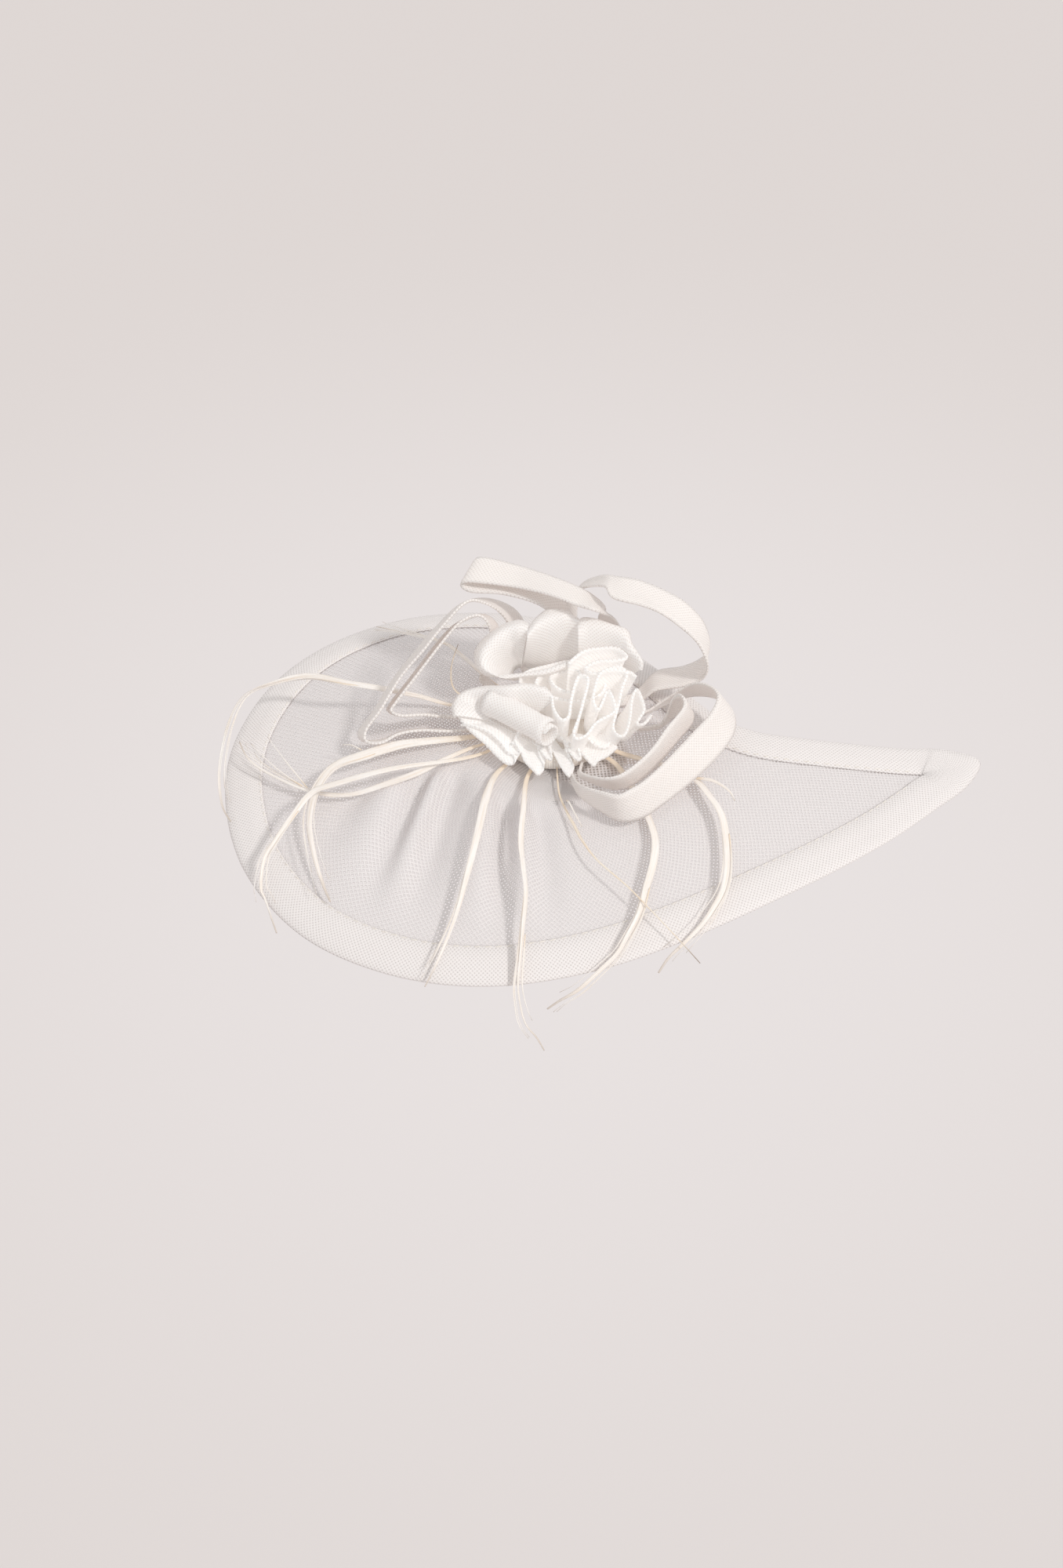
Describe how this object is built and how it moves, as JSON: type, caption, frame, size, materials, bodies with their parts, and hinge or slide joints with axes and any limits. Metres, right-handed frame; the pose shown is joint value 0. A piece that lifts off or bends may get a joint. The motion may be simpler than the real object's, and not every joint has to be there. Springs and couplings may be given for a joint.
{
  "type": "fascinator headpiece",
  "caption": "Teardrop open-weave brim with a bound edge, folded ribbon loops, ruffled rosettes and curled feather strands, held by a sprung hair clip.",
  "frame": {"origin": "centre of the clip's gripping face, on the head side, under the trimming", "axes": "+X towards the brim's point, +Y towards the back edge, +Z away from the head"},
  "size_m": [0.3155, 0.2322, 0.0912],
  "materials": {
    "open_weave": "open plain weave, stiffened",
    "binding": "folded bias strip, close weave",
    "ribbon": "folded bias strip, close weave",
    "ruffle": "ruffled open weave",
    "feather": "soft satin strands",
    "quill": "bare quill",
    "pad_cloth": "cloth cover",
    "thread": "sewing thread",
    "edge_wire": "cotton-covered wire",
    "clip_metal": "dark satin",
    "pin_steel": "bright",
    "spring_steel": "drawn wire"
  },
  "bodies": {
    "headpiece": {"brim_panel": "open_weave", "edge_wire": "edge_wire", "edge_binding": "binding", "trim_pad": "pad_cloth", "base_disc": "pad_cloth", "top_loop": "ribbon", "right_upper_loop": "ribbon", "front_outer_loop": "ribbon", "front_inner_loop": "ribbon", "left_outer_loop": "ribbon", "left_inner_loop": "ribbon", "rosette_top": "ruffle", "rosette_back": "ruffle", "rosette_front": "ruffle", "rosette_right": "ruffle", "rosette_roll": "ruffle", "rosette_frill": "ruffle", "feather_left_high": "feather", "feather_left_wide": "feather", "feather_left_forked": "feather", "feather_left_low": "feather", "feather_front_left": "feather", "feather_front_mid": "feather", "feather_front_right": "feather", "feather_right_wide": "feather", "feather_right_barb": "feather", "feather_back_left": "feather", "quill_front": "quill", "quill_back": "quill", "clip_plate": "clip_metal", "clip_pin": "pin_steel", "clip_spring": "spring_steel", "clip_stitches": "thread"},
    "jaw": {"clip_jaw": "clip_metal"}
  },
  "joints": [
    {"name": "clip_hinge", "type": "hinge", "parent": "headpiece", "child": "jaw", "pos_m": [0, 0.011, -0.003], "axis": [1, 0, 0], "range_deg": [0, 20], "stiffness_Nm_per_rad": 0.12, "springref_deg": -28.65, "deforming": ["clip_spring"]}
  ]
}
